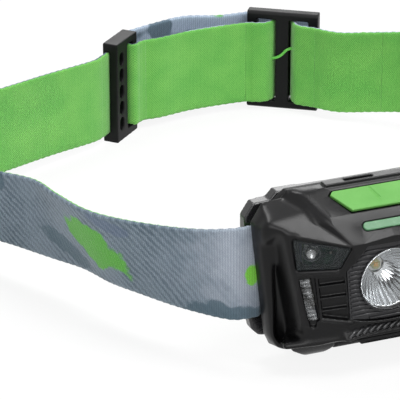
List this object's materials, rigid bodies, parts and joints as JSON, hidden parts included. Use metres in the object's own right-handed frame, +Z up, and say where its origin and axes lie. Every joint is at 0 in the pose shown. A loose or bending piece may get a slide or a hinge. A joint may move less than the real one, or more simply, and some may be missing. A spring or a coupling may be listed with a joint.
{
  "type": "headlamp",
  "caption": "Headlamp with a faceted dark shell, round lens, side windows and green power button, tilting on a bracket carried by an adjustable woven elastic head band.",
  "frame": {"origin": "middle of the footprint on the table the lamp stands on: centre of the bounding box in X and Y, floor at Z = 0", "axes": "+Z up, the lamp faces -Y and lies on X = 0, the head band runs back toward +Y"},
  "size_m": [0.1736, 0.1871, 0.0491],
  "materials": {
    "shell": "fine moulded texture, satin",
    "cover": "fine moulded texture",
    "bracket": "satin moulded plastic",
    "seal": "matt rubber",
    "screw": "brushed",
    "panel": "half gloss, ribbed",
    "clear": "clear polished",
    "mirror": "bright metallised, faceted",
    "die": "clear domed phosphor",
    "board": "solder mask on metal core",
    "smoke": "smoked polished",
    "white": "clear resin",
    "label": "translucent green",
    "green": "soft-touch matt green",
    "switch": "plain",
    "cell": "laminated foil wrap",
    "socket": "plated",
    "black_rubber": "matt",
    "steel": "polished",
    "foam": "soft foam with knit face",
    "band": "woven elastic, green inside and grey camouflage outside",
    "buckle": "satin moulded plastic"
  },
  "bodies": {
    "bracket": {"bracket": "bracket", "hinge_pin": "steel", "click_spring": "steel", "forehead_pad": "foam", "strap_center": "band", "strap_left": "band", "strap_right": "band", "strap_slack": "band", "strap_inner_run": "band", "strap_turn": "band", "strap_outer_run": "band", "end_ring": "buckle"},
    "lamp": {"front_housing": "shell", "rear_cover": "cover", "housing_seal": "seal", "cover_screws": "screw", "lens_panel": "panel", "main_lens": "clear", "reflector": "mirror", "main_led": "die", "led_board": "board", "left_window": "smoke", "right_window": "smoke", "window_leds": "white", "left_side_lens": "clear", "right_side_lens": "clear", "side_leds": "white", "label_strip": "label", "button_switch": "switch", "battery": "cell", "usb_socket": "socket"},
    "button": {"power_button": "green"},
    "port_cover": {"usb_cover": "black_rubber"},
    "slider": {"slider": "buckle", "strap_weave": "band"}
  },
  "joints": [
    {"name": "lamp_tilt", "type": "hinge", "parent": "bracket", "child": "lamp", "pos_m": [0, -0.0747, 0.0039], "axis": [1, 0, 0], "range_deg": [0, 60], "deforming": ["click_spring"]},
    {"name": "button_press", "type": "slide", "parent": "lamp", "child": "button", "axis": [0, 0.4756, -0.8796], "range_m": [0, 0.0008], "stiffness_N_per_m": 2000, "springref_m": -0.0002},
    {"name": "port_cover_swing", "type": "hinge", "parent": "lamp", "child": "port_cover", "pos_m": [0, -0.0813, 0.008], "axis": [1, 0, 0], "range_deg": [0, 90]},
    {"name": "slider_adjust", "type": "slide", "parent": "bracket", "child": "slider", "axis": [0.8192, -0.5736, 0], "range_m": [-0.018, 0.014], "deforming": ["strap_slack", "strap_inner_run", "strap_outer_run"]}
  ]
}
